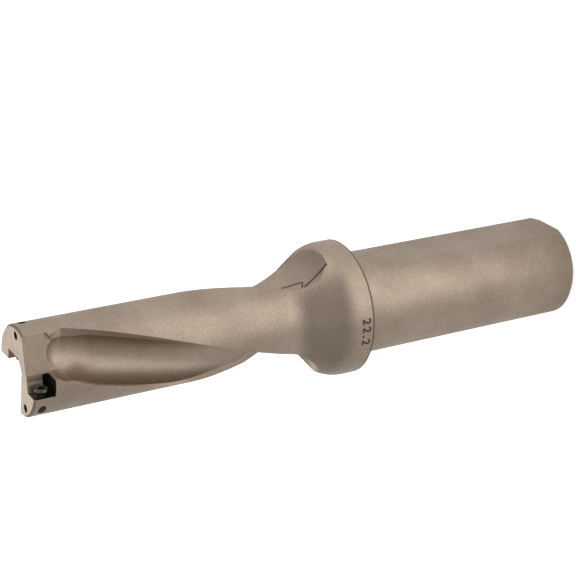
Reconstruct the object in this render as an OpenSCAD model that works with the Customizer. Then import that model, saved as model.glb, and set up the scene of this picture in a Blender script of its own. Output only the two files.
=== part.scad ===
// Indexable drill body with a flatted cylindrical shank, a shoulder flange,
// two helical chip flutes and two empty insert pockets with their screws.
// The drill stands on the end of its shank. +Z runs to the cutting end, +Y is
// square to the clamping flat, and +X points out through the outer pocket.
// Places near the cutting end are given as a distance back from its end face.

/* [Shank] */
// Diameter of the cylindrical shank
shank_d = 25.4; // [22:0.1:30]
// Length of the shank behind the flange
shank_len = 63.5; // [50:0.5:80]
// Chamfer around the end of the shank
shank_chamfer = 1.1; // [0.4:0.1:2]
// Depth of the clamping flat below the round of the shank
flat_depth = 1.7; // [0.8:0.1:2.5]
// Round shank left between the clamping flat and the flange
flat_gap = 8; // [4:0.5:15]
// Diameter of the coolant bore up the middle of the shank
inlet_d = 8.6; // [6:0.1:10]
// Chamfer at the mouth of the coolant bore
inlet_chamfer = 0.7; // [0.3:0.1:1.5]

/* [Flange] */
// Diameter of the flange
flange_d = 33.2; // [31:0.1:38]
// Width of the straight band of the flange
flange_w = 3.6; // [2:0.1:8]
// Radius that rounds the band into the cone
crown_r = 9.75; // [7:0.05:11]
// Angle of the cone from the drill's axis
cone_angle = 32; // [28:0.5:38]
// Radius that blends the cone into the fluted body
blend_r = 10; // [6:0.5:14]
// Broken edge around the back of the flange
rim_break = 0.4; // [0.2:0.1:1]

/* [Fluted body] */
// Diameter of the hole that the drill cuts
cut_d = 22.2; // [21.4:0.1:23]
// Gap between the body and the wall of that hole
body_gap = 0.45; // [0.3:0.05:0.7]
// Distance from the back of the flange to the end face
reach = 84.1; // [80:0.1:110]
// Broken edge around the end face
tip_break = 0.5; // [0.2:0.1:0.8]

/* [Flutes] */
// Length in which the flutes would make one whole turn
flute_lead = 195; // [170:1:230]
// Angle at which the first flute would meet the end face
flute_phase = 50; // [46:0.5:54]
// Radius of the round floor of a flute
flute_r = 5.6; // [5:0.1:6]
// Thickness of the web left between the two flutes
web_t = 6; // [5:0.1:7]
// Half of the angle that the outer insert's flute takes from the body's round
outer_half_angle = 39; // [37:0.5:42]
// Half of the angle that the inner insert's flute takes from the body's round
inner_half_angle = 43.5; // [40:0.5:45]
// Depth of the bevels along the flutes' edges
bevel_depth = 1.65; // [1.2:0.05:2]
// Distance from the end face at which the flute cutter goes in
flute_start = 9.1; // [8:0.1:11]
// How much shallower a flute is where the cutter goes in
lead_in_lift = 1.7; // [0.8:0.1:2.2]
// Length over which a flute then gets its full depth
lead_in_len = 7; // [4:0.5:12]
// Distance from the flange's band to the end of the outer insert's full flute
outer_end_gap = 10.5; // [9.5:0.5:12]
// Distance from the flange's band to the end of the inner insert's full flute
inner_end_gap = 24; // [23:0.5:25]

/* [Run-out ramps] */
// Radius of the hollow ramps that carry the flutes out through the cone
ramp_r = 30; // [27:1:36]
// Distance from the flange's band to the top of a ramp
ramp_setback = 3.2; // [2.6:0.1:3.8]
// Distance from the flange's band to the foot of a ramp
ramp_len = 20.5; // [19.5:0.5:21.5]
// Distance of a ramp's foot from the axis
ramp_foot_y = 5; // [4.6:0.1:5.4]
// Turn of the ramps about the axis, away from the clamping flat
ramp_turn = 8; // [6:0.5:9]
// Distance of the step along a ramp from the ramp's middle
ramp_step_x = 4; // [3.7:0.1:4.3]
// Height of that step
ramp_step_h = 0.35; // [0.25:0.05:0.5]
// Width of the ledge beside the step
ramp_ledge_w = 1.9; // [1.6:0.1:2.2]
// Distance of the notch beside the inner insert's ramp from the axis
notch_x = 6; // [5.6:0.1:6.6]
// Depth of the notch below the ramp's foot
notch_drop = 1.1; // [0.9:0.1:1.4]
// Rise of the notch's floor over its length
notch_rise = 2.4; // [2:0.1:2.8]
// Length of the notch's floor
notch_len = 9; // [8:0.5:9.5]

/* [Gashes at the end face] */
// Distance of the outer gash's wall from the axis
outer_gash_x = 5.5; // [5:0.05:6]
// Lean of the outer gash's wall
outer_gash_lean = 11; // [6:0.5:15]
// Height of the outer gash's floor above the axis
outer_gash_y = 1.2; // [0.6:0.1:1.8]
// Length of the outer gash along its corner
outer_gash_len = 10.4; // [9:0.1:11]
// Angle by which the end of the outer gash leans towards the tip
outer_gash_tilt = 29; // [24:1:34]
// Distance of the inner gash's wall past the axis
inner_gash_x = 2.6; // [2:0.1:3]
// Lean of the inner gash's wall
inner_gash_lean = 9; // [5:0.5:12]
// Height of the inner gash's floor behind the axis
inner_gash_y = 0.75; // [0.3:0.05:1.2]
// Length of the inner gash at its wall
inner_gash_len = 6; // [5.4:0.1:8]

/* [Insert pockets] */
// Length of both pockets from the end face
pocket_len = 5; // [4.6:0.1:5.3]
// Distance of the outer pocket's side wall from the axis
outer_wall_x = 5.8; // [5.6:0.05:6.1]
// Distance of the outer pocket's seat below the axis
outer_seat_y = 2.8; // [2.4:0.1:3.2]
// Distance of the inner pocket's side wall from the axis
inner_wall_x = 5.5; // [5.2:0.05:5.9]
// Distance of the inner pocket's seat behind the axis
inner_seat_y = 3.4; // [3:0.1:3.8]
// Thickness of the insert that a pocket takes
insert_t = 2.4; // [2:0.1:2.8]
// Lean of the pockets' side walls
wall_lean = 11; // [7:0.5:13]
// Radius of the relief in the corner of a pocket
relief_r = 1.25; // [0.9:0.05:1.4]
// Thickness of the lip left over that relief
relief_lip = 0.35; // [0.2:0.05:0.6]

/* [Insert screws] */
// Thread diameter of the insert screws
screw_d = 1.8; // [1.6:0.1:2.1]
// Gap around the screw in its tapped hole
screw_gap = 0.05; // [0.02:0.01:0.1]
// Diameter of the screw head
head_d = 3.1; // [2.8:0.1:3.5]
// Height of the straight rim of the screw head
head_rim = 0.6; // [0.4:0.05:0.7]
// Angle of the cone under the screw head, from side to side
head_cone = 75; // [65:1:90]
// Length of the thread below the head
thread_len = 4; // [3.5:0.1:4.5]
// How far the head's underside stands off its seat
head_lift = 0.4; // [0.2:0.1:0.8]
// Width of the six-lobed socket across its lobes
socket_w = 1.9; // [1.5:0.1:2.1]
// Depth of the socket
socket_depth = 0.8; // [0.5:0.1:1]
// Distance of the outer screw from the axis
outer_screw_x = 8.4; // [8.2:0.1:8.7]
// Distance of the inner screw from the axis
inner_screw_x = 2.6; // [2.4:0.1:2.9]
// Distance of both screws from the end face
screw_back = 2.35; // [2.2:0.05:2.6]

/* [Coolant passages] */
// Diameter of the coolant passages
coolant_d = 2; // [1.6:0.1:2.1]
// Distance of the coolant passages from the axis
coolant_x = 8.6; // [8.2:0.1:8.9]
// Direction of the passage above the inner pocket
coolant_upper_angle = 91; // [86:0.5:92]
// Direction of the passage below the outer pocket
coolant_lower_angle = -59; // [-64:1:-54]
// Length of the straight drilling behind the end face
coolant_straight = 14; // [12:0.5:18]

/* [Hidden] */

$fn = 96;
over = 1;
far = 40;
steel = [0.60, 0.55, 0.50];
black_steel = [0.22, 0.22, 0.23];

shank_r = shank_d / 2;
flange_r = flange_d / 2;
cut_r = cut_d / 2;
body_r = cut_r - body_gap;
inlet_r = inlet_d / 2;
tip_z = shank_len + reach;
band_z = shank_len + flange_w;
flat_y = shank_r - flat_depth;

// Turned profile: the band rounds over the crown into the cone, and the cone
// runs down to its foot on the body, where the blend fills the corner.
crown_x = flange_r - crown_r;
crown_end = [crown_x + crown_r * cos(cone_angle), band_z + crown_r * sin(cone_angle)];
foot_z = crown_end[1] + (crown_end[0] - body_r) / tan(cone_angle);
blend_len = blend_r * tan(cone_angle / 2);
blend_z = foot_z + blend_len;
turn_steps = 8;

// Flute path: distances are measured back from the end face.
flute_centre = web_t / 2 + flute_r;
outer_end = tip_z - band_z - outer_end_gap;
inner_end = tip_z - band_z - inner_end_gap;
arc_steps = 16;
ball_steps = 8;
helix_step = 1.6;
least_arc = 20;
bevel_run = flute_r * 1.21;
bevel_full = flute_start - flute_r + bevel_run;

// Arc of a ramp's floor, as distance from the axis and height, and the length in
// which the inner insert's flute rises on to it.
ramp_foot = [ramp_foot_y, band_z + ramp_len];
ramp_chord = [flange_r, band_z + ramp_setback] - ramp_foot;
ramp_half = norm(ramp_chord) / 2;
ramp_centre = ramp_foot + ramp_chord / 2
    + [-ramp_chord[1], ramp_chord[0]] * sqrt(ramp_r * ramp_r - ramp_half * ramp_half) / (2 * ramp_half);
ramp_sides = 240;
ramp_lead = 5;
ramp_from = ramp_foot[1] + ramp_lead;
lip_gap = 0.5;
side_rise = 0.7;
ledge_drop = 3.1;
notch_slope = 1.25;
rise_run = 7;
rise_from = tip_z - ramp_foot[1] - rise_run;
rise_len = 9;
rise_gap = 0.2;
rise_over = 1.5;
rise_to = inner_end + rise_over;

// Coolant passage path behind its straight drilling.
coolant_r = coolant_d / 2;
coolant_sides = 8;
coolant_narrow = 0.9;
coolant_steps = 24;
coolant_from = coolant_straight - over;
coolant_bend = tip_z - blend_z;
coolant_to = tip_z - shank_len + flange_w;
coolant_end_x = inlet_r - 2 * coolant_r;
inlet_depth = band_z;

// Screws and their tapped holes.
screw_z = tip_z - screw_back;
head_h = head_rim + (head_d - screw_d) / 2 / tan(head_cone / 2);
tap_d = screw_d + 2 * screw_gap;
lobe_count = 6;
lobe_r = socket_w * 0.12;
socket_core_d = socket_w * 0.76;

function flute_turn(s) = flute_phase - 360 * s / flute_lead;
function smooth(k) = k <= 0 ? 0 : k >= 1 ? 1 : k * k * (3 - 2 * k);
function round_off(k) = sqrt(max(0, 1 - k * k));

// Distance of a ramp's floor from the axis at a distance s from the end face
function ramp_floor(s) = ramp_centre[0] - sqrt(ramp_r * ramp_r - pow(tip_z - s - ramp_centre[1], 2));

// How far the inner insert's flute has risen there on its way out through the cone
function rise(s) = s < rise_from ? 0 :
    (ramp_floor(s) - web_t / 2 + rise_gap) * smooth((s - rise_from) / rise_len);

// How far out a trough's centre lies there, with a rising or a level end
function trough_x(s, rising) = flute_centre + (rising ? rise(min(s, rise_to)) : 0)
    + lead_in_lift * (1 - smooth((s - flute_start) / lead_in_len));

// Radius of the trough there, round at both ends like a ball
function trough_r(s, end) = flute_r * round_off(max(0, flute_start - s, s - end) / flute_r);

// Share of the flute's full opening there, rounded at both ends too
function opening(s, end) = round_off(max(0, (bevel_full - s) / bevel_run, (s - end) / flute_r));

// Angle round the trough at which its floor meets the bevels
function bevel_at(c, r) =
    let (rim = body_r - bevel_depth, q = (rim * rim + c * c - r * r) / (2 * c))
    max(least_arc, acos(max(-1, min(1, (c - q) / r))));

// Section of a flute in its own frame, out along q and across along t
function flute_section(s, half_angle, end, rising) =
    let (c = trough_x(s, rising), r = trough_r(s, end), a = half_angle * opening(s, end), arc = bevel_at(c, r),
         inner = [c - r * cos(arc), r * sin(arc)],
         edge_r = max(body_r, c - r + bevel_depth),
         edge = [edge_r * cos(a), edge_r * sin(a)],
         lip = edge + (edge - inner) * 0.4,
         out = flange_r)
    concat(
        [for (i = [0:arc_steps])
            let (g = arc * (2 * i / arc_steps - 1)) [c - r * cos(g), r * sin(g)]],
        [lip, [out, lip[1]], [out, -lip[1]], [lip[0], -lip[1]]]);

// Distances from the end face at which a flute's sections stand
function flute_stations(end) = let (count = ceil((end - flute_start) / helix_step)) concat(
    [for (i = [1:ball_steps]) flute_start - flute_r * cos(90 * i / (ball_steps + 1))],
    [for (i = [0:count]) flute_start + (end - flute_start) * i / count],
    [for (i = [1:ball_steps]) end + flute_r * sin(90 * i / (ball_steps + 1))]);

// Middle of a loop of points
function middle(loop) = [for (i = [0:2]) [for (p = loop) p[i]] * [for (p = loop) 1] / len(loop)];

// Closed solid through a list of loops that all have the same number of points
module loft(loops) {
    n = len(loops[0]);
    m = len(loops);
    polyhedron(
        points = concat([for (l = loops) each l], [middle(loops[0]), middle(loops[m - 1])]),
        faces = concat(
            [for (j = [0:n - 1]) [m * n, j, (j + 1) % n]],
            [for (k = [0:m - 2], j = [0:n - 1])
                [k * n + j, (k + 1) * n + j, (k + 1) * n + (j + 1) % n]],
            [for (k = [0:m - 2], j = [0:n - 1])
                [k * n + j, (k + 1) * n + (j + 1) % n, k * n + (j + 1) % n]],
            [for (j = [0:n - 1]) [m * n + 1, (m - 1) * n + (j + 1) % n, (m - 1) * n + j]]));
}

// Turned outline of the body, from the axis outwards
module turned_profile() {
    polygon(concat(
        [[0, 0], [shank_r - shank_chamfer, 0], [shank_r, shank_chamfer],
            [shank_r, shank_len], [flange_r - rim_break, shank_len], [flange_r, shank_len + rim_break]],
        [for (i = [0:turn_steps])
            let (g = cone_angle * i / turn_steps) [crown_x + crown_r * cos(g), band_z + crown_r * sin(g)]],
        [for (i = [turn_steps:-1:0])
            let (g = cone_angle * i / turn_steps)
            [body_r + blend_r * (1 - cos(g)), blend_z - blend_r * sin(g)]],
        [[body_r, tip_z - tip_break], [body_r - tip_break, tip_z], [0, tip_z]]));
}

// Milled clamping flat, open at the end of the shank
module clamping_flat() {
    translate([-shank_r, flat_y, -over])
        cube([shank_d, shank_r, shank_len - flat_gap + over]);
}

// One helical flute with its round floor and bevelled edges
module flute(half_angle, end, rising) {
    loft([for (s = flute_stations(end))
        let (a = flute_turn(max(flute_start, min(end, s))))
        [for (p = flute_section(s, half_angle, end, rising))
            [p[0] * cos(a) - p[1] * sin(a), p[0] * sin(a) + p[1] * cos(a), tip_z - s]]]);
}

// Hollow ramp that carries the chips of one flute out through the cone, in two
// passes that leave a low step along one side
module ramp(half_angle) {
    lip_x = -body_r * cos(flute_turn(tip_z - ramp_from) - half_angle + ramp_turn) - lip_gap;
    rotate([0, 0, -ramp_turn]) {
        ramp_pass(lip_x, ramp_step_x, foot_z + side_rise, 0);
        ramp_pass(lip_x, ramp_step_x + ramp_ledge_w, foot_z - ledge_drop, ramp_step_h);
    }
}

// One pass of a ramp: its floor is an arc, and its side runs from the flute's lip
// out to a distance side_x from the ramp's middle
module ramp_pass(lip_x, side_x, side_z, lift) {
    low = band_z - over - lift;
    high = ramp_from + lift;
    intersection() {
        rotate([90, 0, 0]) translate([0, 0, -far])
            linear_extrude(far)
                polygon([[-far, low], [side_x, low], [side_x, side_z], [lip_x, high], [-far, high]]);
        translate([-2 * far, ramp_centre[0] + lift, ramp_centre[1]]) rotate([0, 90, 0])
            cylinder(r = ramp_r, h = 4 * far, $fn = ramp_sides);
    }
}

// Notch along the far side of the inner insert's ramp, with a steep end in the cone
module ramp_notch() {
    floor_y = ramp_foot_y - notch_drop;
    end_y = floor_y + notch_rise;
    end_z = ramp_foot[1] - notch_len;
    translate([-notch_x, 0, 0]) rotate([90, 0, -90]) linear_extrude(far)
        polygon([[-floor_y, ramp_from + over], [-floor_y, ramp_foot[1]], [-end_y, end_z],
            [-end_y - far, end_z - far / notch_slope], [-end_y - far, ramp_from + over]]);
}

// Gash in front of the outer pocket, with a leaning end
module outer_gash() {
    corner = [(outer_gash_x - outer_gash_y * sin(outer_gash_lean)) / cos(outer_gash_lean), outer_gash_y];
    intersection() {
        translate([0, 0, tip_z - outer_gash_len - over]) linear_extrude(outer_gash_len + 2 * over)
            polygon([corner, [far, outer_gash_y], [far, far],
                corner + far * [-sin(outer_gash_lean), cos(outer_gash_lean)]]);
        translate([-2 * far, outer_gash_y, tip_z - outer_gash_len]) rotate([outer_gash_tilt, 0, 0])
            translate([0, -far, 0]) cube([4 * far, 3 * far, 2 * far]);
    }
}

// Gash in front of the inner pocket, past the axis, with a sloped end
module inner_gash() {
    slope = tan(inner_gash_lean);
    corner = [inner_gash_x + inner_gash_y * slope, inner_gash_y];
    intersection() {
        translate([0, 0, tip_z - far]) linear_extrude(far + over)
            polygon([corner, [-far, inner_gash_y], [-far, -far], [corner[0] - far * slope, inner_gash_y - far]]);
        translate([corner[0], -far, tip_z - inner_gash_len]) rotate([0, -45, 0])
            translate([-2 * far, 0, 0]) cube([4 * far, 2 * far, 2 * far]);
    }
}

// Room for an insert: a seat, a leaning side wall and a relieved corner, drawn
// for the outer pocket with the seat a distance drop below the axis
module pocket(wall_x, drop, top) {
    lean = insert_t * tan(wall_lean);
    translate([0, 0, tip_z - pocket_len]) {
        linear_extrude(pocket_len + over)
            polygon([[wall_x + lean, -drop], [far, -drop], [far, top], [wall_x, top], [wall_x, insert_t - drop]]);
        translate([wall_x, -drop, 0]) rotate([-90, 0, 0])
            cylinder(r = relief_r, h = drop + outer_gash_y - relief_lip);
    }
}

// Room for the inner insert, open across the axis
module inner_pocket() {
    lean = insert_t * tan(wall_lean);
    open_x = inner_gash_x + inner_gash_y * tan(inner_gash_lean);
    translate([0, 0, tip_z - pocket_len]) {
        linear_extrude(pocket_len + over)
            polygon([[lean - inner_wall_x, inner_seat_y], [-inner_wall_x, inner_seat_y - insert_t],
                [-inner_wall_x, -over], [0, -over], [open_x, 0], [open_x, inner_gash_y],
                [inner_screw_x - head_d / 2, inner_seat_y]]);
        translate([-inner_wall_x, inner_gash_y + relief_lip, 0]) rotate([-90, 0, 0])
            cylinder(r = relief_r, h = inner_seat_y - inner_gash_y - relief_lip);
    }
}

// Coolant passage: drilled straight behind the end face, then turned with the
// land and led in to the bore of the shank
module coolant_passage(angle) {
    rotate([0, 0, angle]) translate([coolant_x, 0, tip_z - coolant_straight])
        cylinder(d = coolant_d, h = coolant_straight + over);
    loft([for (i = [0:coolant_steps])
        let (s = coolant_from + (coolant_to - coolant_from) * i / coolant_steps,
             a = angle - 360 * max(0, s - coolant_straight) / flute_lead,
             x = coolant_x - (coolant_x - coolant_end_x) * smooth((s - coolant_bend) / (coolant_to - coolant_bend)))
        [for (j = [0:coolant_sides - 1])
            let (b = -360 * j / coolant_sides, r = coolant_narrow * coolant_r)
            [x * cos(a) + r * cos(b), x * sin(a) + r * sin(b), tip_z - s]]]);
}

// Coolant bore up the middle of the shank
module inlet() {
    translate([0, 0, -over]) cylinder(r = inlet_r, h = inlet_depth + over);
    translate([0, 0, -over])
        cylinder(r1 = inlet_r + inlet_chamfer + over, r2 = inlet_r, h = inlet_chamfer + over);
}

// The whole drill body, turned and milled from one bar
module drill_body() {
    color(steel) difference() {
        rotate_extrude() turned_profile();
        clamping_flat();
        inlet();
        flute(outer_half_angle, outer_end, false);
        rotate([0, 0, 180]) flute(inner_half_angle, inner_end, true);
        ramp(inner_half_angle);
        ramp_notch();
        rotate([0, 0, 180]) ramp(outer_half_angle);
        outer_gash();
        inner_gash();
        pocket(outer_wall_x, outer_seat_y, outer_gash_y + over);
        inner_pocket();
        translate([outer_screw_x, -outer_seat_y + over, screw_z]) rotate([90, 0, 0])
            cylinder(d = tap_d, h = far);
        translate([-inner_screw_x, inner_seat_y - over, screw_z]) rotate([-90, 0, 0])
            cylinder(d = tap_d, h = far);
        coolant_passage(coolant_upper_angle);
        coolant_passage(coolant_lower_angle);
    }
}

// Insert screw along +Z, with its head's underside at the origin
module insert_screw() {
    color(black_steel) difference() {
        rotate_extrude() polygon([
            [0, -thread_len], [screw_d / 2, -thread_len], [screw_d / 2, 0],
            [head_d / 2, head_h - head_rim], [head_d / 2, head_h], [0, head_h]]);
        translate([0, 0, head_h - socket_depth]) linear_extrude(socket_depth + over) union() {
            circle(d = socket_core_d);
            for (i = [0:lobe_count - 1]) rotate(360 * i / lobe_count)
                translate([socket_w / 2 - lobe_r, 0]) circle(lobe_r);
        }
    }
}

module outer_insert_screw() {
    translate([outer_screw_x, head_lift - outer_seat_y, screw_z]) rotate([-90, 0, 0]) insert_screw();
}

module inner_insert_screw() {
    translate([-inner_screw_x, inner_seat_y - head_lift, screw_z]) rotate([90, 0, 0]) insert_screw();
}

drill_body();
outer_insert_screw();
inner_insert_screw();
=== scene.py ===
"""Looks of an indexable drill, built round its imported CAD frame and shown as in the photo."""

import logging
import math
from dataclasses import dataclass, field
from enum import Enum

import bpy
from mathutils import Matrix, Vector


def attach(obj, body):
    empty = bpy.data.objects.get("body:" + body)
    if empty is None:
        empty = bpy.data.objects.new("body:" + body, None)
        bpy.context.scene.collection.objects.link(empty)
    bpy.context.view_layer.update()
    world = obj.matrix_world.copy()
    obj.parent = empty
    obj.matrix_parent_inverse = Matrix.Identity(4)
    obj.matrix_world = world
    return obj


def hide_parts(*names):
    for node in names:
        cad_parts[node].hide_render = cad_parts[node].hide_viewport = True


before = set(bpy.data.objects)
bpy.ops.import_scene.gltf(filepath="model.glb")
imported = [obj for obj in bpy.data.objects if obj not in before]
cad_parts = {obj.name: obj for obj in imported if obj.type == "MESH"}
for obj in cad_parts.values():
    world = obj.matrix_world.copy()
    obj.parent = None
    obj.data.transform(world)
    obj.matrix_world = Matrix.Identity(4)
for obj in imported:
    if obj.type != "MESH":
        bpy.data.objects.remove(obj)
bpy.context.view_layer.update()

LOG = logging.getLogger("drill")
MM = 0.001
BODY = "root"
# How far cutters stand past what they cut, and how far the long ones reach, in mm
OVER = 1.0
FAR = 40.0
# Least cosine between a face and a direction for the face to look along it
FACING = 0.3
# Turns a plan drawn in XY so that its axes become Y and Z
TO_SIDE = Matrix(((0, 0, 1, 0), (1, 0, 0, 0), (0, 1, 0, 0), (0, 0, 0, 1)))


@dataclass(frozen=True)
class Finish:
    """How one surface looks.

    Args:
        base: colour of the clean metal, linear.
        tint: colour of its darker patches, linear.
        rough: mean roughness.
        metallic: share of metal in the reflection.
        grain: depth of the fine blasted grain, in mm.
        edge: radius that softens hard edges, in mm.
    """

    base: tuple[float, float, float]
    tint: tuple[float, float, float]
    rough: float
    metallic: float = 1.0
    grain: float = 0.02
    edge: float = 0.18


PLATED = Finish(base=(0.50, 0.41, 0.333), tint=(0.43, 0.345, 0.273), rough=0.48)
SCREW = Finish(base=(0.16, 0.155, 0.15), tint=(0.11, 0.105, 0.10), rough=0.38, grain=0.01, edge=0.06)
# Painted shade: near-black colour for the insides of holes, pocket reliefs and the screw sockets and threads
HOLE_SHADE = Finish(base=(0.03, 0.027, 0.025), tint=(0.02, 0.018, 0.016), rough=0.6, metallic=0.2)
# Painted shade, with some grime in the grooves: dark colour for the fine line along the flange's rear rim and
# the cutter marks on the ramp floor
MARK_SHADE_AND_GRIME = Finish(base=(0.19, 0.16, 0.13), tint=(0.13, 0.108, 0.086), rough=0.5)
# Painted shade, with some grime: a darker tone for the faces of the flutes and ramps
FLUTE_SHADE_AND_GRIME = Finish(base=(0.46, 0.377, 0.306), tint=(0.39, 0.313, 0.247), rough=0.46)
# Painted shade: dark colour for the seats and back walls of the insert pockets
POCKET_SHADE = Finish(base=(0.13, 0.112, 0.088), tint=(0.05, 0.044, 0.036), rough=0.42, edge=0.06)
INK = Finish(
    base=(0.03, 0.022, 0.016), tint=(0.06, 0.045, 0.033), rough=0.7, metallic=0.0, grain=0.0, edge=0.01
)


@dataclass(frozen=True)
class Texture:
    """Noises that every finish is made of; scales are in cells per metre."""

    patch_scale: float = 90.0
    patch_detail: float = 5.0
    patch_range: tuple[float, float] = (0.35, 0.65)
    speck_scale: float = 1700.0
    speck_detail: float = 3.0
    speck_range: tuple[float, float] = (0.3, 0.7)
    speck_tone: tuple[float, float, float] = (0.84, 0.81, 0.78)
    grain_scale: float = 2600.0
    grain_detail: float = 2.0
    grain_strength: float = 0.35
    rough_spread: float = 0.04
    edge_samples: int = 6


TEXTURE = Texture()


def noise(tree: bpy.types.NodeTree, scale: float, detail: float) -> bpy.types.NodeSocket:
    """Adds a noise on object coordinates.

    Args:
        tree: the nodes to add it to.
        scale: cells per metre.
        detail: octaves of finer noise.

    Returns:
        The noise's value.
    """
    coords = tree.nodes.new("ShaderNodeTexCoord")
    texture = tree.nodes.new("ShaderNodeTexNoise")
    texture.inputs["Scale"].default_value = scale
    texture.inputs["Detail"].default_value = detail
    tree.links.new(coords.outputs["Object"], texture.inputs["Vector"])
    return texture.outputs["Fac"]


def ranged(
    tree: bpy.types.NodeTree,
    value: bpy.types.NodeSocket,
    source: tuple[float, float] = (0.0, 1.0),
    target: tuple[float, float] = (0.0, 1.0),
) -> bpy.types.NodeSocket:
    """Maps a value from one range to another.

    Args:
        tree: the nodes to add the map to.
        value: the value to map.
        source: its range.
        target: the range of the result.

    Returns:
        The mapped value.
    """
    node = tree.nodes.new("ShaderNodeMapRange")
    node.inputs["From Min"].default_value, node.inputs["From Max"].default_value = source
    node.inputs["To Min"].default_value, node.inputs["To Max"].default_value = target
    tree.links.new(value, node.inputs["Value"])
    return node.outputs["Result"]


def metal(name: str, finish: Finish) -> bpy.types.Material:
    """Makes a satin metal with faint patches, a fine grain and softened edges.

    Args:
        name: name of the new material.
        finish: the look to give it.

    Returns:
        The new material.
    """
    mat = bpy.data.materials.new(name)
    mat.use_nodes = True
    tree, look = mat.node_tree, TEXTURE
    nodes, links = tree.nodes, tree.links
    shader = nodes["Principled BSDF"]
    shader.inputs["Metallic"].default_value = finish.metallic
    patches = noise(tree, look.patch_scale, look.patch_detail)
    patchy = nodes.new("ShaderNodeMix")
    patchy.data_type = "RGBA"
    patchy.inputs["A"].default_value = (*finish.base, 1.0)
    patchy.inputs["B"].default_value = (*finish.tint, 1.0)
    links.new(ranged(tree, patches, look.patch_range), patchy.inputs["Factor"])
    specks = noise(tree, look.speck_scale, look.speck_detail)
    speckled = nodes.new("ShaderNodeMix")
    speckled.data_type = "RGBA"
    speckled.blend_type = "MULTIPLY"
    speckled.inputs["B"].default_value = (*look.speck_tone, 1.0)
    links.new(ranged(tree, specks, look.speck_range), speckled.inputs["Factor"])
    links.new(patchy.outputs["Result"], speckled.inputs["A"])
    links.new(speckled.outputs["Result"], shader.inputs["Base Color"])
    spread = (finish.rough - look.rough_spread, finish.rough + look.rough_spread)
    links.new(ranged(tree, patches, target=spread), shader.inputs["Roughness"])
    edge = nodes.new("ShaderNodeBevel")
    edge.samples = look.edge_samples
    edge.inputs["Radius"].default_value = finish.edge * MM
    bump = nodes.new("ShaderNodeBump")
    bump.inputs["Strength"].default_value = look.grain_strength
    bump.inputs["Distance"].default_value = finish.grain * MM
    links.new(noise(tree, look.grain_scale, look.grain_detail), bump.inputs["Height"])
    links.new(edge.outputs["Normal"], bump.inputs["Normal"])
    links.new(bump.outputs["Normal"], shader.inputs["Normal"])
    return mat


def only(piece: bpy.types.Object) -> None:
    """Makes a piece the one that is selected and active.

    Args:
        piece: the piece to pick.
    """
    bpy.ops.object.select_all(action="DESELECT")
    piece.select_set(True)
    bpy.context.view_layer.objects.active = piece


def mesh_piece(name: str, points: list, edges: list, faces: list) -> bpy.types.Object:
    """Makes a piece from points in mm and picks it.

    Args:
        name: name of the new piece.
        points: its points, in mm.
        edges: pairs of point numbers.
        faces: loops of point numbers.

    Returns:
        The new piece.
    """
    mesh = bpy.data.meshes.new(name)
    mesh.from_pydata([Vector(p) * MM for p in points], edges, faces)
    piece = bpy.data.objects.new(name, mesh)
    bpy.context.scene.collection.objects.link(piece)
    only(piece)
    return piece


def tidy_faces(piece: bpy.types.Object, merge: float = 0.0005) -> bpy.types.Object:
    """Joins doubled points of a piece and turns its faces outwards.

    Args:
        piece: the piece to tidy.
        merge: distance within which points are joined, in mm.

    Returns:
        The same piece.
    """
    only(piece)
    bpy.ops.object.mode_set(mode="EDIT")
    bpy.ops.mesh.select_all(action="SELECT")
    bpy.ops.mesh.remove_doubles(threshold=merge * MM)
    bpy.ops.mesh.normals_make_consistent(inside=False)
    bpy.ops.object.mode_set(mode="OBJECT")
    return piece


def lathe(name: str, outline: list[tuple[float, float]], steps: int) -> bpy.types.Object:
    """Turns an outline round the Z axis.

    Args:
        name: name of the new piece.
        outline: radius and height of each point, in mm, from axis to axis.
        steps: faces round the axis.

    Returns:
        The turned piece.
    """
    piece = mesh_piece(name, [(r, 0, z) for r, z in outline], [(i, i + 1) for i in range(len(outline) - 1)], [])
    bpy.ops.object.mode_set(mode="EDIT")
    bpy.ops.mesh.select_all(action="SELECT")
    bpy.ops.mesh.spin(steps=steps, angle=math.tau, center=(0, 0, 0), axis=(0, 0, 1))
    bpy.ops.object.mode_set(mode="OBJECT")
    return tidy_faces(piece)


def prism(name: str, outline: list[tuple[float, float]], low: float, high: float) -> bpy.types.Object:
    """Raises an outline in the XY plane into a straight solid.

    Args:
        name: name of the new piece.
        outline: X and Y of each corner, in mm.
        low: height of the lower end, in mm.
        high: height of the upper end, in mm.

    Returns:
        The new piece.
    """
    piece = mesh_piece(name, [(x, y, low) for x, y in outline], [], [range(len(outline))])
    bpy.ops.object.mode_set(mode="EDIT")
    bpy.ops.mesh.select_all(action="SELECT")
    bpy.ops.mesh.extrude_region_move(TRANSFORM_OT_translate={"value": (0, 0, (high - low) * MM)})
    bpy.ops.object.mode_set(mode="OBJECT")
    return tidy_faces(piece)


def rod(name: str, radius: float, start: Vector, end: Vector, sides: int = 64) -> bpy.types.Object:
    """Makes a round rod between two points.

    Args:
        name: name of the new piece.
        radius: in mm.
        start: middle of one end, in mm.
        end: middle of the other end, in mm.
        sides: faces round the rod.

    Returns:
        The new piece, with its place in its mesh.
    """
    way = end - start
    bpy.ops.mesh.primitive_cylinder_add(vertices=sides, radius=radius * MM, depth=way.length * MM)
    piece = bpy.context.object
    piece.name = name
    turn = way.to_track_quat("Z", "Y").to_matrix().to_4x4()
    piece.data.transform(Matrix.Translation((start + end) / 2 * MM) @ turn)
    return piece


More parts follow.
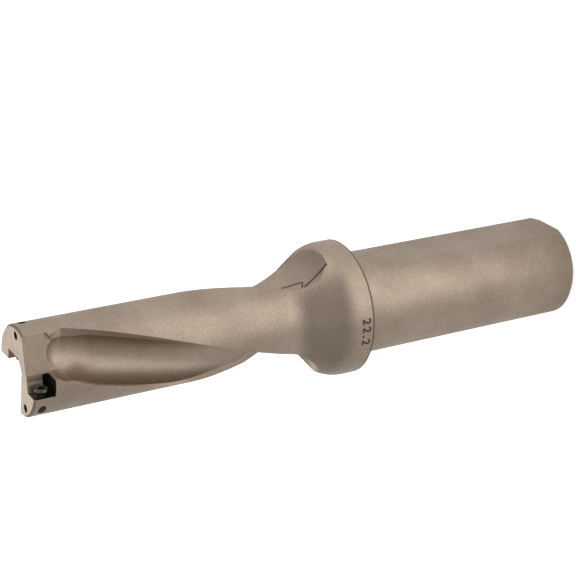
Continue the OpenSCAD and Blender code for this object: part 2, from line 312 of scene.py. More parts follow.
def loft(name: str, rings: list[list[tuple[float, float, float]]]) -> bpy.types.Object:
    """Skins a row of rings that have the same number of points.

    Args:
        name: name of the new piece.
        rings: points of each ring, in mm.

    Returns:
        The new closed piece.
    """
    n, m = len(rings[0]), len(rings)
    faces = [list(range(n)), list(range((m - 1) * n, m * n))]
    for k in range(m - 1):
        for j in range(n):
            i = (j + 1) % n
            faces.append([k * n + j, (k + 1) * n + j, (k + 1) * n + i, k * n + i])
    return tidy_faces(mesh_piece(name, [p for ring in rings for p in ring], [], faces))


class Join(Enum):
    """How two solids are put together."""

    CUT = "DIFFERENCE"
    KEEP_COMMON = "INTERSECT"


def combine(target: bpy.types.Object, tool: bpy.types.Object, how: Join = Join.CUT) -> bpy.types.Object:
    """Cuts a tool out of a target, or keeps what they share, and drops the tool.

    Args:
        target: the piece that is changed.
        tool: the solid that changes it.
        how: what to do with the two.

    Returns:
        The target.
    """
    only(target)
    step = target.modifiers.new(tool.name, "BOOLEAN")
    step.operation = how.value
    step.solver = "EXACT"
    step.object = tool
    bpy.ops.object.modifier_apply(modifier=step.name)
    bpy.data.objects.remove(tool)
    return target


class Skin(Enum):
    """Which material of a piece a cutter leaves behind; every one of them is painted shade, two of them with
    grime as well.
    """

    # painted shade inside holes, reliefs and screw sockets
    HOLE_SHADE = 1
    # painted shade on pocket seats and back walls
    POCKET_SHADE = 2
    # painted shade along the rim line; shade and grime in the ramp grooves
    MARK_SHADE_AND_GRIME = 3
    # painted shade and grime in flutes and ramps
    FLUTE_SHADE_AND_GRIME = 4


def marked(tool: bpy.types.Object, skin: Skin = Skin.HOLE_SHADE, way: Vector | None = None) -> bpy.types.Object:
    """Marks a cutter so that the faces it leaves take another material of the piece, which paints shade on them.

    Args:
        tool: the cutter to mark.
        skin: the material that they take.
        way: direction that the marked faces look along, or none to mark them all.

    Returns:
        The same cutter.
    """
    while len(tool.data.materials) <= skin.value:
        tool.data.materials.append(None)
    for face in tool.data.polygons:
        if way is None or face.normal.dot(way) > FACING:
            face.material_index = skin.value
    return tool


def smooth(k: float) -> float:
    """Goes from 0 to 1 with a soft start and end as k goes from 0 to 1."""
    k = min(1.0, max(0.0, k))
    return k * k * (3 - 2 * k)


def round_off(k: float) -> float:
    """Height of a unit circle at a distance k from its middle."""
    return math.sqrt(max(0.0, 1 - k * k))


@dataclass(frozen=True)
class FluteSizes:
    """Sizes of the two chip flutes, in mm and degrees; s is measured back from the end face."""

    lead: float = 195.0
    phase: float = 50.0
    radius: float = 5.6
    web: float = 6.0
    outer_half: float = 39.0
    inner_half: float = 43.5
    bevel_depth: float = 1.65
    nose_depth: float = 0.7
    nose_trim: float = 4.5
    nose_end: float = 34.0
    nose_fade: float = 20.0
    bevel_run: float = 1.21
    least_arc: float = 20.0
    lip_share: float = 0.4
    arc_steps: int = 36
    ball_steps: int = 16
    helix_steps: int = 56
    start: float = 9.1
    lift: float = 1.7
    lead_in: float = 7.0
    outer_end: float = 70.0
    inner_end: float = 56.5
    ramp_radius: float = 30.0
    ramp_setback: float = 3.2
    ramp_len: float = 20.5
    ramp_foot: float = 5.0
    ramp_lead: float = 5.0
    ramp_turn: float = 8.0
    ramp_sides: int = 480
    lip_gap: float = 0.5
    side_rise: float = 0.7
    ledge_drop: float = 3.1
    step_x: float = 4.0
    step_h: float = 0.35
    ledge_w: float = 1.9
    notch_x: float = 6.0
    notch_drop: float = 1.1
    notch_rise: float = 2.4
    notch_len: float = 9.0
    notch_slope: float = 1.25
    rise_run: float = 7.0
    rise_len: float = 9.0
    rise_gap: float = 0.2
    rise_over: float = 1.5

    @property
    def centre(self) -> float:
        """Distance of the full trough's middle from the axis."""
        return self.web / 2 + self.radius

    def turn(self, s: float) -> float:
        """Angle of the outer insert's flute at s."""
        return self.phase - 360 * s / self.lead


@dataclass(frozen=True)
class BodySizes:
    """Sizes of the turned body and of its cutting end, in mm and degrees."""

    shank_r: float = 12.7
    shank_len: float = 63.5
    shank_chamfer: float = 1.1
    flat_depth: float = 1.7
    flat_gap: float = 8.0
    inlet_r: float = 4.3
    inlet_chamfer: float = 0.7
    flange_r: float = 16.6
    flange_w: float = 3.6
    crown_r: float = 9.75
    cone_angle: float = 32.0
    blend_r: float = 10.0
    rim_break: float = 0.4
    # Band along the flange's rear rim whose dark colour is painted shade
    rim_line_w: float = 0.28
    rim_line_depth: float = 0.06
    body_r: float = 10.65
    reach: float = 84.1
    tip_break: float = 0.5
    outer_gash: tuple[float, float] = (5.5, 1.2)
    outer_gash_lean: float = 11.0
    outer_gash_len: float = 10.4
    outer_gash_tilt: float = 29.0
    inner_gash: tuple[float, float] = (2.6, 0.75)
    inner_gash_lean: float = 9.0
    inner_gash_len: float = 6.0
    pocket_len: float = 5.0
    outer_wall: float = 5.8
    outer_seat: float = 2.8
    inner_wall: float = 5.5
    inner_seat: float = 3.4
    insert_t: float = 2.4
    wall_lean: float = 11.0
    relief_r: float = 1.25
    relief_lip: float = 0.35
    tap_r: float = 0.95
    outer_screw: float = 8.4
    inner_screw: float = 2.6
    screw_back: float = 2.35
    head_r: float = 1.55
    coolant_r: float = 1.0
    coolant_x: float = 8.6
    coolant_angles: tuple[float, float] = (91.0, -59.0)
    coolant_len: float = 14.0
    arc_steps: int = 16
    turn_steps: int = 224
    smooth_angle: float = 11.0

    @property
    def tip_z(self) -> float:
        """Height of the end face."""
        return self.shank_len + self.reach

    @property
    def band_z(self) -> float:
        """Height at which the flange's straight band ends."""
        return self.shank_len + self.flange_w

    @property
    def foot_z(self) -> float:
        """Height at which the cone would meet the body."""
        a = math.radians(self.cone_angle)
        r = self.flange_r - self.crown_r * (1 - math.cos(a))
        return self.band_z + self.crown_r * math.sin(a) + (r - self.body_r) / math.tan(a)


@dataclass(frozen=True)
class GroovePath:
    """One mark on the floor of the seen ramp, in mm; each end is a place across it and a height."""

    start: tuple[float, float]
    end: tuple[float, float]
    depth: float


@dataclass(frozen=True)
class GrooveSizes:
    """Cutter marks on the floor of the seen ramp, in mm."""

    radius: float = 0.7
    sides: int = 40
    steps: int = 16
    paths: tuple[GroovePath, ...] = (
        GroovePath((3.6, 71.3), (3.75, 76.9), 0.12),
        GroovePath((1.85, 76.5), (3.4, 77.3), 0.05),
        GroovePath((-0.9, 80.5), (1.7, 76.7), 0.05),
    )


@dataclass
class DrillBody:
    """The one-piece body of the drill: turned from bar, then milled and drilled."""

    sizes: BodySizes = field(default_factory=BodySizes)
    flutes: FluteSizes = field(default_factory=FluteSizes)
    grooves: GrooveSizes = field(default_factory=GrooveSizes)
    finish: Finish = PLATED
    piece: bpy.types.Object | None = None

    def build(self) -> "DrillBody":
        """Makes the piece that stands for the body."""
        z, f = self.sizes, self.flutes
        self.piece = self.turned()
        self.piece.data.materials.append(metal("plated_steel", self.finish))
        self.piece.data.materials.append(metal("painted_hole_shade", HOLE_SHADE))
        self.piece.data.materials.append(metal("painted_seat_shade", POCKET_SHADE))
        self.piece.data.materials.append(metal("shade_and_grime_mark", MARK_SHADE_AND_GRIME))
        self.piece.data.materials.append(metal("flute_shade_and_grime", FLUTE_SHADE_AND_GRIME))
        self.cut(self.flat())
        # Flute and ramp faces take a darker tone: painted shade of the hollows, with some grime
        self.cut(marked(self.flute("outer_flute", f.outer_half, f.outer_end, 0.0, False), Skin.FLUTE_SHADE_AND_GRIME))
        self.cut(marked(self.flute("inner_flute", f.inner_half, f.inner_end, 180.0, True), Skin.FLUTE_SHADE_AND_GRIME))
        for tool in self.ramps(f.inner_half, 0.0) + self.ramps(f.outer_half, 180.0):
            self.cut(marked(tool, Skin.FLUTE_SHADE_AND_GRIME))
        self.cut(self.notch())
        # The cutter marks take a dark colour: painted shade, with some grime
        for path in self.grooves.paths:
            self.cut(marked(self.groove(path), Skin.MARK_SHADE_AND_GRIME))
        self.cut(self.outer_gash())
        self.cut(self.inner_gash())
        self.cut(self.outer_pocket())
        self.cut(self.inner_pocket())
        # The tapped and coolant holes take the painted shade inside
        for tool in self.holes():
            self.cut(marked(tool))
        # The dark line along the flange's rear rim is painted shade
        self.cut(marked(self.rim_shade_line(), Skin.MARK_SHADE_AND_GRIME))
        tidy_faces(self.piece)
        bpy.ops.object.shade_smooth_by_angle(angle=math.radians(z.smooth_angle))
        LOG.info("body has %d faces; flange at %.1f mm", len(self.piece.data.polygons), z.shank_len)
        return self

    def cut(self, tool: bpy.types.Object) -> None:
        """Cuts a tool out of the body."""
        combine(self.piece, tool)

    def turned(self) -> bpy.types.Object:
        """Turns the bar: shank, flange, crown, cone, blend and fluted length."""
        z = self.sizes
        a, arc_steps = math.radians(z.cone_angle), z.arc_steps
        blend_z = z.foot_z + z.blend_r * math.tan(a / 2)
        outline = [(0, z.band_z), (z.inlet_r, z.band_z), (z.inlet_r, z.inlet_chamfer)]
        outline += [(z.inlet_r + z.inlet_chamfer, 0), (z.shank_r - z.shank_chamfer, 0)]
        outline += [(z.shank_r, z.shank_chamfer), (z.shank_r, z.shank_len)]
        outline += [(z.flange_r - z.rim_break, z.shank_len), (z.flange_r, z.shank_len + z.rim_break)]
        for i in range(arc_steps + 1):
            g = a * i / arc_steps
            outline.append((z.flange_r - z.crown_r * (1 - math.cos(g)), z.band_z + z.crown_r * math.sin(g)))
        for i in range(arc_steps, -1, -1):
            g = a * i / arc_steps
            outline.append((z.body_r + z.blend_r * (1 - math.cos(g)), blend_z - z.blend_r * math.sin(g)))
        outline += [(z.body_r, z.tip_z - z.tip_break), (z.body_r - z.tip_break, z.tip_z), (0, z.tip_z)]
        return lathe("drill_body_skin", outline, z.turn_steps)

    def rim_shade_line(self) -> bpy.types.Object:
        """Cutter for the fine line along the rear rim of the flange; its dark colour is painted shade."""
        z = self.sizes
        deep, out = z.flange_r - z.rim_line_depth, z.flange_r + OVER
        low = z.shank_len + z.rim_break
        high = low + z.rim_line_w
        return lathe("rim_shade_line", [(deep, low), (out, low), (out, high), (deep, high), (deep, low)], z.turn_steps)

    def flat(self) -> bpy.types.Object:
        """Cutter for the clamping flat."""
        z = self.sizes
        y, w = z.shank_r - z.flat_depth, z.shank_r + OVER
        return prism("flat", [(-w, y), (w, y), (w, w), (-w, w)], -OVER, z.shank_len - z.flat_gap)

    def section(self, s: float, half: float, end: float, rising: bool) -> list[tuple[float, float]]:
        """Section of a flute in its own frame, out along the first axis.

        Args:
            s: distance from the end face, in mm.
            half: half of the angle that the flute takes from the body's round.
            end: distance from the end face at which the full flute ends, in mm.
            rising: whether the flute rises on to its ramp.

        Returns:
            The corners of the section.
        """
        z, f = self.sizes, self.flutes
        c = f.centre + f.lift * (1 - smooth((s - f.start) / f.lead_in))
        if rising:
            c += self.rise(min(s, end + f.rise_over))
        r = f.radius * round_off(max(0.0, f.start - s, s - end) / f.radius)
        run = f.radius * f.bevel_run
        open_share = round_off(max(0.0, (f.start - f.radius + run - s) / run, (s - end) / f.radius))
        heel, lip = self.flank(c, r, math.radians(half) * open_share, f.bevel_depth)
        sharp = 1 - smooth((s - f.nose_end) / f.nose_fade)
        nose_depth = f.bevel_depth + (f.nose_depth - f.bevel_depth) * sharp
        nose, low = self.flank(c, r, math.radians(half - f.nose_trim * sharp) * open_share, nose_depth)
        ring = []
        for i in range(f.arc_steps + 1):
            g = (heel + nose) * i / f.arc_steps - nose
            ring.append((c - r * math.cos(g), r * math.sin(g)))
        return ring + [(lip.x, lip.y), (z.flange_r, lip.y), (z.flange_r, -low.y), (low.x, -low.y)]

    def flank(self, c: float, r: float, a: float, depth: float) -> tuple[float, Vector]:
        """Where a flute's round bottom ends on one side, and where its bevel goes on from there.

        Args:
            c: distance of the bottom's middle from the axis, in mm.
            r: radius of the bottom, in mm.
            a: angle at which the bevel meets the body's round.
            depth: depth of the bevel below the body's round, in mm.

        Returns:
            The end of the round bottom as an angle about its middle, and a point past the bevel.
        """
        z, f = self.sizes, self.flutes
        rim = z.body_r - depth
        q = (rim * rim + c * c - r * r) / (2 * c)
        arc = max(math.radians(f.least_arc), math.acos(max(-1.0, min(1.0, (c - q) / r))))
        inner = Vector((c - r * math.cos(arc), r * math.sin(arc)))
        edge_r = max(z.body_r, c - r + depth)
        edge = Vector((edge_r * math.cos(a), edge_r * math.sin(a)))
        return arc, edge + (edge - inner) * f.lip_share

    def flute(self, name: str, half: float, end: float, turn: float, rising: bool) -> bpy.types.Object:
        """Cutter for one helical flute, round at both ends like the ball of its mill.

        Args:
            name: name of the cutter.
            half: half of the angle that the flute takes from the body's round.
            end: distance from the end face at which the full flute ends, in mm.
            turn: angle of the flute about the axis.
            rising: whether the flute rises on to its ramp.

        Returns:
            The cutter.
        """
        z, f = self.sizes, self.flutes
        ball, helix = f.ball_steps, f.helix_steps
        stations = [f.start - f.radius * math.cos(math.pi / 2 * i / (ball + 1)) for i in range(1, ball + 1)]
        stations += [f.start + (end - f.start) * i / helix for i in range(helix + 1)]
        stations += [end + f.radius * math.sin(math.pi / 2 * i / (ball + 1)) for i in range(1, ball + 1)]
        rings = []
        for s in stations:
            a = math.radians(f.turn(min(end, max(f.start, s))) + turn)
            ca, sa = math.cos(a), math.sin(a)
            ring = self.section(s, half, end, rising)
            rings.append([(q * ca - t * sa, q * sa + t * ca, z.tip_z - s) for q, t in ring])
        return loft(name, rings)

    def ramp_arc(self) -> tuple[Vector, Vector]:
        """Foot and middle of the arc of a ramp's floor, as distance from the axis and height."""
        z, f = self.sizes, self.flutes
        foot = Vector((f.ramp_foot, z.band_z + f.ramp_len))
        chord = Vector((z.flange_r, z.band_z + f.ramp_setback)) - foot
        reach = math.sqrt(f.ramp_radius**2 - chord.length_squared / 4)
        return foot, foot + chord / 2 + Vector((-chord.y, chord.x)).normalized() * reach

    def rise(self, s: float) -> float:
        """How far a flute has risen at s on its way out through the cone."""
        z, f = self.sizes, self.flutes
        foot, centre = self.ramp_arc()
        start = z.tip_z - foot.y - f.rise_run
        if s < start:
            return 0.0
        floor = centre.x - math.sqrt(f.ramp_radius**2 - (z.tip_z - s - centre.y) ** 2)
        return (floor - f.web / 2 + f.rise_gap) * smooth((s - start) / f.rise_len)

    def ramps(self, half: float, turn: float) -> list[bpy.types.Object]:
        """Cutters for the hollow ramp that leads one flute out through the cone."""
        z, f = self.sizes, self.flutes
        foot, _ = self.ramp_arc()
        back = z.tip_z - foot.y - f.ramp_lead
        lip = -z.body_r * math.cos(math.radians(f.turn(back) - half + f.ramp_turn)) - f.lip_gap
        return [
            self.ramp_pass(lip, f.step_x, z.foot_z + f.side_rise, 0.0, turn),
            self.ramp_pass(lip, f.step_x + f.ledge_w, z.foot_z - f.ledge_drop, f.step_h, turn),
        ]

    def ramp_pass(self, lip: float, side: float, side_z: float, lift: float, turn: float) -> bpy.types.Object:
        """Cutter for one pass of a ramp.

        Args:
            lip: distance of the pass's side from its middle at the foot, in mm.
            side: the same distance further up, in mm.
            side_z: height from which the side is straight, in mm.
            lift: how far this pass stays above the full depth, in mm.
            turn: angle of the flute about the axis.

        Returns:
            The cutter.
        """
        z, f = self.sizes, self.flutes
        foot, centre = self.ramp_arc()
        low, high = z.band_z - OVER - lift, foot.y + f.ramp_lead + lift
        plan = [(-FAR, low), (side, low), (side, side_z), (lip, high), (-FAR, high)]
        block = prism("ramp", plan, -FAR, 0)
        block.data.transform(Matrix.Rotation(math.pi / 2, 4, "X"))
        y = centre.x + lift
        start, end = Vector((-2 * FAR, y, centre.y)), Vector((2 * FAR, y, centre.y))
        drum = rod("drum", f.ramp_radius, start, end, f.ramp_sides)
        combine(block, drum, Join.KEEP_COMMON)
        block.data.transform(Matrix.Rotation(math.radians(turn - f.ramp_turn), 4, "Z"))
        return block

    def groove(self, path: GroovePath) -> bpy.types.Object:
        """Cutter for a fine mark along the floor of the inner insert's ramp.

        Args:
            path: the mark to make.

        Returns:
            The cutter.
        """
        f, g = self.flutes, self.grooves
        _, centre = self.ramp_arc()
        (x0, z0), (x1, z1) = path.start, path.end
        rings = []
        for i in range(g.steps + 1):
            k = i / g.steps
            x, rise = x0 + (x1 - x0) * k, z0 + (z1 - z0) * k - centre.y
            fall = math.sqrt(f.ramp_radius**2 - rise * rise)
            out = Vector((0, fall, -rise)) / f.ramp_radius
            along = Vector((x1 - x0, (z1 - z0) * rise / fall, z1 - z0)).normalized()
            across = along.cross(out).normalized()
            middle = Vector((x, centre.x - fall, centre.y + rise)) + out * (g.radius - path.depth)
            ring = []
            for j in range(g.sides):
                a = math.tau * j / g.sides
                ring.append(middle + (across * math.cos(a) + out * math.sin(a)) * g.radius)
            rings.append(ring)
        mark = loft("groove", rings)
        mark.data.transform(Matrix.Rotation(math.radians(-f.ramp_turn), 4, "Z"))
        return mark

    def notch(self) -> bpy.types.Object:
        """Cutter for the notch along the far side of the inner insert's ramp."""
        f = self.flutes
        foot, _ = self.ramp_arc()
        floor = f.ramp_foot - f.notch_drop
        end, end_z = floor + f.notch_rise, foot.y - f.notch_len
        start = foot.y + f.ramp_lead + OVER
        side = [(floor, start), (floor, foot.y), (end, end_z)]
        side += [(end + FAR, end_z - FAR / f.notch_slope), (end + FAR, start)]
        block = prism("notch", side, -FAR, -f.notch_x)
        block.data.transform(TO_SIDE)
        return block

    def outer_gash(self) -> bpy.types.Object:
        """Cutter for the gash in front of the outer pocket, with a leaning end."""
        z = self.sizes
        a = math.radians(z.outer_gash_lean)
        x, y = z.outer_gash
        corner = ((x - y * math.sin(a)) / math.cos(a), y)
        top = (corner[0] - FAR * math.sin(a), y + FAR * math.cos(a))
        end = z.tip_z - z.outer_gash_len
        gash = prism("outer_gash", [corner, (FAR, y), (FAR, FAR), top], end - OVER, z.tip_z + OVER)
        rise = FAR * math.tan(math.radians(z.outer_gash_tilt))
        side = [(y - FAR, end - rise), (y + FAR, end + rise), (y + FAR, end + 2 * FAR), (y - FAR, end + 2 * FAR)]
        keep = prism("gash_end", side, -2 * FAR, 2 * FAR)
        keep.data.transform(TO_SIDE)
        return combine(gash, keep, Join.KEEP_COMMON)

    def inner_gash(self) -> bpy.types.Object:
        """Cutter for the gash in front of the inner pocket, with a sloped end."""
        z = self.sizes
        slope = math.tan(math.radians(z.inner_gash_lean))
        x, y = z.inner_gash[0] + z.inner_gash[1] * slope, z.inner_gash[1]
        plan = [(x, y), (-FAR, y), (-FAR, -FAR), (x - FAR * slope, y - FAR)]
        gash = prism("inner_gash", plan, z.tip_z - FAR, z.tip_z + OVER)
        low, wide = z.tip_z - z.inner_gash_len, 2 * FAR
        side = [(-wide, low - wide - x), (wide, low + wide - x), (-wide, low + wide)]
        keep = prism("gash_end", side, -wide, wide)
        keep.data.transform(Matrix.Rotation(math.pi / 2, 4, "X"))
        return combine(gash, keep, Join.KEEP_COMMON)

    def outer_pocket(self) -> bpy.types.Object:
        """Cutter for the room of the outer insert."""
        z = self.sizes
        lean = z.insert_t * math.tan(math.radians(z.wall_lean))
        top, low = z.outer_gash[1] + OVER, -z.outer_seat
        wall = [(z.outer_wall + lean, low), (FAR, low), (FAR, top)]
        wall += [(z.outer_wall, top), (z.outer_wall, low + z.insert_t)]
        # The relief takes the painted shade inside
        self.cut(marked(self.relief(z.outer_wall, low, z.outer_gash[1] - z.relief_lip)))
        room = prism("outer_pocket", wall, z.tip_z - z.pocket_len, z.tip_z + OVER)
        # The seat and the back wall take the painted shade of the pocket
        return marked(marked(room, Skin.POCKET_SHADE, Vector((0, -1, 0))), Skin.POCKET_SHADE, Vector((0, 0, -1)))

    def inner_pocket(self) -> bpy.types.Object:
        """Cutter for the room of the inner insert, open across the axis."""
        z = self.sizes
        lean = z.insert_t * math.tan(math.radians(z.wall_lean))
        open_x = z.inner_gash[0] + z.inner_gash[1] * math.tan(math.radians(z.inner_gash_lean))
        wall = [(lean - z.inner_wall, z.inner_seat), (-z.inner_wall, z.inner_seat - z.insert_t)]
        wall += [(-z.inner_wall, -OVER), (0, -OVER), (open_x, 0), (open_x, z.inner_gash[1])]
        wall += [(z.inner_screw - z.head_r, z.inner_seat)]
        # The relief takes the painted shade inside
        self.cut(marked(self.relief(-z.inner_wall, z.inner_gash[1] + z.relief_lip, z.inner_seat)))
        room = prism("inner_pocket", wall, z.tip_z - z.pocket_len, z.tip_z + OVER)
        # The seat and the back wall take the painted shade of the pocket
        return marked(marked(room, Skin.POCKET_SHADE, Vector((0, 1, 0))), Skin.POCKET_SHADE, Vector((0, 0, -1)))

    def relief(self, x: float, low: float, high: float) -> bpy.types.Object:
        """Cutter for the relief in the back corner of a pocket."""
        z = self.sizes.tip_z - self.sizes.pocket_len
        return rod("relief", self.sizes.relief_r, Vector((x, low, z)), Vector((x, high, z)))

    def holes(self) -> list[bpy.types.Object]:
        """Cutters for the tapped holes and the coolant outlets."""
        z = self.sizes
        up = z.tip_z - z.screw_back
        outer, inner = (z.outer_screw, -z.outer_seat), (-z.inner_screw, z.inner_seat)
        tools = []
        for name, (x, y), way in (("outer_tap", outer, -1), ("inner_tap", inner, 1)):
            tools.append(rod(name, z.tap_r, Vector((x, y - way * OVER, up)), Vector((x, way * FAR, up))))
        for angle in z.coolant_angles:
            a = math.radians(angle)
            x, y = z.coolant_x * math.cos(a), z.coolant_x * math.sin(a)
            start, end = Vector((x, y, z.tip_z - z.coolant_len)), Vector((x, y, z.tip_z + OVER))
            tools.append(rod("coolant", z.coolant_r, start, end))
        return tools

    def dress(self) -> None:
        """Gives the piece its place on the frame."""
        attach(self.piece, BODY)
        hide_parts("drill_body")


@dataclass(frozen=True)
class ScrewSizes:
    """Sizes of an insert screw, in mm and degrees."""

    thread_r: float = 0.9
    thread_len: float = 4.0
    pitch: float = 0.45
    head_r: float = 1.55
    head_rim: float = 0.6
    head_cone: float = 75.0
    socket_w: float = 1.9
    socket_depth: float = 0.8
    lobe_share: float = 0.12
    core_share: float = 0.38
    lobes: int = 6
    lobe_sides: int = 24
    lift: float = 0.4
    end_chamfer: float = 0.3
    end_len: float = 0.2
    thread_depth: float = 0.22
    crest: tuple[float, float] = (0.4, 0.6)
    neck: float = 0.1
    rim_break: float = 0.12
    turn_steps: int = 64
    smooth_angle: float = 24.0

    @property
    def head_h(self) -> float:
        """Height of the head above its underside."""
        return self.head_rim + (self.head_r - self.thread_r) / math.tan(math.radians(self.head_cone / 2))


@dataclass
class InsertScrew:
    """One of the two insert screws.

    Args:
        node: CAD node that the piece stands for.
        place: middle of the head's underside, in mm.
        way: direction of the head.
    """

    node: str
    place: Vector
    way: Vector
    sizes: ScrewSizes = field(default_factory=ScrewSizes)
    finish: Finish = SCREW
    piece: bpy.types.Object | None = None

    def build(self) -> "InsertScrew":
        """Turns the screw with its thread and cuts the six-lobed socket."""
        z = self.sizes
        outline = [(0, -z.thread_len), (z.thread_r - z.end_chamfer, -z.thread_len)]
        for i in range(int((z.thread_len - z.end_chamfer) / z.pitch)):
            low = -z.thread_len + z.end_len + i * z.pitch
            outline.append((z.thread_r - z.thread_depth, low))
            outline += [(z.thread_r, low + share * z.pitch) for share in z.crest]
        outline += [(z.thread_r - z.neck, -z.neck), (z.thread_r, 0), (z.head_r, z.head_h - z.head_rim)]
        outline += [(z.head_r, z.head_h - z.rim_break), (z.head_r - z.rim_break, z.head_h), (0, z.head_h)]
        self.piece = lathe(self.node + "_skin", outline, z.turn_steps)
        self.piece.data.materials.append(metal(self.node + "_steel", self.finish))
        self.piece.data.materials.append(metal(self.node + "_socket", HOLE_SHADE))
        # Painted shade: the thread below the head, which sits in its hole, takes the near-black colour
        for face in self.piece.data.polygons:
            if face.center.z < 0:
                face.material_index = Skin.HOLE_SHADE.value
        base, top = z.head_h - z.socket_depth, z.head_h + OVER
        lobe = z.socket_w * z.lobe_share
        tools = [rod("core", z.socket_w * z.core_share, Vector((0, 0, base)), Vector((0, 0, top)))]
        for i in range(z.lobes):
            a = math.tau * i / z.lobes
            x, y = (z.socket_w / 2 - lobe) * math.cos(a), (z.socket_w / 2 - lobe) * math.sin(a)
            tools.append(rod("lobe", lobe, Vector((x, y, base)), Vector((x, y, top)), z.lobe_sides))
        # The socket's faces take the painted shade
        for tool in tools:
            combine(self.piece, marked(tool))
        tidy_faces(self.piece)
        bpy.ops.object.shade_smooth_by_angle(angle=math.radians(z.smooth_angle))
        turn = self.way.to_track_quat("Z", "X").to_matrix().to_4x4()
        self.piece.data.transform(Matrix.Translation(self.place * MM) @ turn)
        return self

    def dress(self) -> None:
        """Gives the piece its place on the frame."""
        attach(self.piece, BODY)
        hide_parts(self.node)


@dataclass
class SizeMark:
    """Plain number on the flange: the cutting diameter in mm, read down the band."""

    words: str = "22.2"
    type_size: float = 3.1
    spacing: float = 1.35
    bold: float = 0.07
    angle: float = 0.0
    height: float = 66.1
    lift: float = 0.04
    piece: bpy.types.Object | None = None

    def build(self, radius: float) -> "SizeMark":
        """Sets the number and bends it round the flange.

        Args:
            radius: of the flange, in mm.

        Returns:
            The mark itself.
        """
        bpy.ops.object.select_all(action="DESELECT")
        bpy.ops.object.text_add()
        words = bpy.context.object
        words.data.body = self.words
        words.data.size = self.type_size * MM
        words.data.offset = self.bold * MM
        words.data.space_character = self.spacing
        words.data.align_x = words.data.align_y = "CENTER"
        bpy.ops.object.convert(target="MESH")
        self.piece = bpy.context.object
        self.piece.name = "size_mark"
        r = radius * MM
        for point in self.piece.data.vertices:
            a = math.radians(self.angle) - point.co.x / r
            out = r + self.lift * MM
            point.co = (out * math.cos(a), out * math.sin(a), self.height * MM - point.co.y)
        self.piece.data.materials.clear()
        self.piece.data.materials.append(metal("mark_ink", INK))
        return self

    def dress(self) -> None:
        """Gives the piece its place on the frame."""
        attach(self.piece, BODY)


@dataclass(frozen=True)
class Lamp:
    """A soft area light that faces the drill.

    Args:
        name: name of the light.
        place: where it stands, in mm.
        aim: the point that it faces, in mm.
        size: width and height, in mm.
        power: in watts.
    """

    name: str
    place: tuple[float, float, float]
    aim: tuple[float, float, float]
    size: tuple[float, float]
    power: float


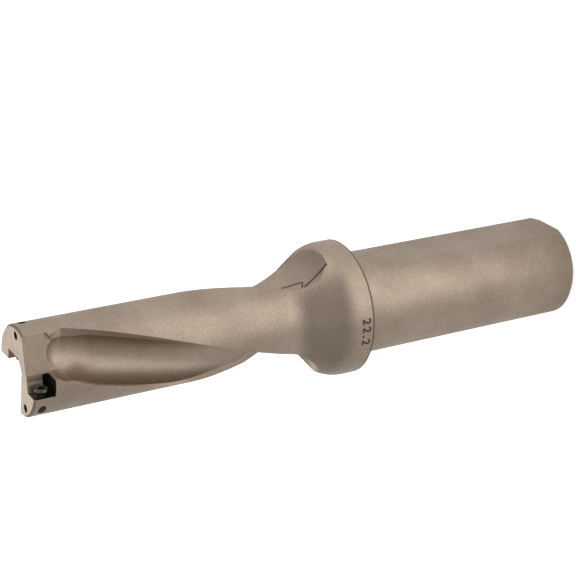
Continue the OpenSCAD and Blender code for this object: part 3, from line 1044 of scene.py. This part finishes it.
@dataclass
class Studio:
    """White floor, soft lights and the photo's camera."""

    eye: tuple[float, float, float] = (312.007, 160.326, 258.738)
    right: tuple[float, float, float] = (0.48982, 0.02783, -0.87138)
    up: tuple[float, float, float] = (-0.35320, 0.92013, -0.16915)
    back: tuple[float, float, float] = (0.79707, 0.39063, 0.46053)
    lens: float = 101.5
    sensor: float = 36.0
    clip_start: float = 0.01
    floor_size: float = 6.0
    floor_tone: tuple[float, float, float] = (0.86, 0.86, 0.86)
    floor_glow: float = 0.75
    world: float = 0.35
    mirrored: float = 0.3
    lamps: tuple[Lamp, ...] = (
        Lamp("card", (255, 228, 1), (255, 228, 100), (440, 440), 0.52),
        Lamp("rim", (-478, -234, 423), (0, 0, 140), (400, 400), 0.7),
        Lamp("top", (-160, 520, 260), (0, 0, 70), (500, 400), 0.7),
        Lamp("over", (160, 40, 640), (0, 0, 70), (500, 500), 0.8),
    )

    def build(self) -> None:
        """Sets up the floor, the lights, the world and the camera."""
        self.lay_floor()
        for lamp in self.lamps:
            self.hang(lamp)
        self.light_world()
        self.place_camera()

    def lay_floor(self) -> None:
        """Makes the white floor that the drill stands on."""
        bpy.ops.mesh.primitive_plane_add(size=self.floor_size)
        floor = bpy.context.object
        floor.name = "floor"
        mat = bpy.data.materials.new("white_floor")
        mat.use_nodes = True
        nodes, links = mat.node_tree.nodes, mat.node_tree.links
        nodes.clear()
        out = nodes.new("ShaderNodeOutputMaterial")
        path = nodes.new("ShaderNodeLightPath")
        matte = nodes.new("ShaderNodeBsdfDiffuse")
        matte.inputs["Color"].default_value = (*self.floor_tone, 1.0)
        glow = nodes.new("ShaderNodeEmission")
        glow.inputs["Color"].default_value = (1.0, 1.0, 1.0, 1.0)
        glow.inputs["Strength"].default_value = self.floor_glow
        both = nodes.new("ShaderNodeAddShader")
        links.new(matte.outputs["BSDF"], both.inputs[0])
        links.new(glow.outputs["Emission"], both.inputs[1])
        pick = nodes.new("ShaderNodeMixShader")
        seen = nodes.new("ShaderNodeMath")
        seen.operation = "MULTIPLY_ADD"
        links.new(path.outputs["Is Glossy Ray"], seen.inputs[0])
        seen.inputs[1].default_value = self.mirrored
        links.new(path.outputs["Is Camera Ray"], seen.inputs[2])
        links.new(seen.outputs["Value"], pick.inputs["Fac"])
        links.new(matte.outputs["BSDF"], pick.inputs[1])
        links.new(both.outputs["Shader"], pick.inputs[2])
        links.new(pick.outputs["Shader"], out.inputs["Surface"])
        floor.data.materials.append(mat)

    def hang(self, lamp: Lamp) -> None:
        """Adds one area light.

        Args:
            lamp: the light to add.
        """
        place = Vector(lamp.place) * MM
        bpy.ops.object.light_add(type="AREA", location=place)
        light = bpy.context.object
        light.name = lamp.name
        light.data.shape = "RECTANGLE"
        light.data.size = lamp.size[0] * MM
        light.data.size_y = lamp.size[1] * MM
        light.data.energy = lamp.power
        light.visible_camera = False
        way = Vector(lamp.aim) * MM - place
        light.rotation_euler = way.to_track_quat("-Z", "Y").to_euler()

    def light_world(self) -> None:
        """Fills the room with an even pale light."""
        world = bpy.data.worlds.new("studio")
        bpy.context.scene.world = world
        world.use_nodes = True
        sky = world.node_tree.nodes["Background"]
        sky.inputs["Color"].default_value = (1.0, 1.0, 1.0, 1.0)
        sky.inputs["Strength"].default_value = self.world

    def place_camera(self) -> None:
        """Puts the camera where the photo was taken from."""
        bpy.ops.object.camera_add()
        camera = bpy.context.object
        turn = Matrix((self.right, self.up, self.back)).transposed().to_4x4()
        camera.matrix_world = Matrix.Translation(Vector(self.eye) * MM) @ turn
        camera.data.lens = self.lens
        camera.data.sensor_width = self.sensor
        camera.data.clip_start = self.clip_start
        camera.data.dof.use_dof = False
        bpy.context.scene.camera = camera
        bpy.context.scene.view_settings.view_transform = "Standard"


def main() -> None:
    """Builds the drill's looks and the studio."""
    body = DrillBody().build()
    body.dress()
    z = body.sizes
    up, lift = z.tip_z - z.screw_back, ScrewSizes().lift
    outer = Vector((z.outer_screw, lift - z.outer_seat, up))
    inner = Vector((-z.inner_screw, z.inner_seat - lift, up))
    InsertScrew("outer_insert_screw", outer, Vector((0, 1, 0))).build().dress()
    InsertScrew("inner_insert_screw", inner, Vector((0, -1, 0))).build().dress()
    SizeMark().build(z.flange_r).dress()
    Studio().build()


if __name__ == "__main__":
    main()
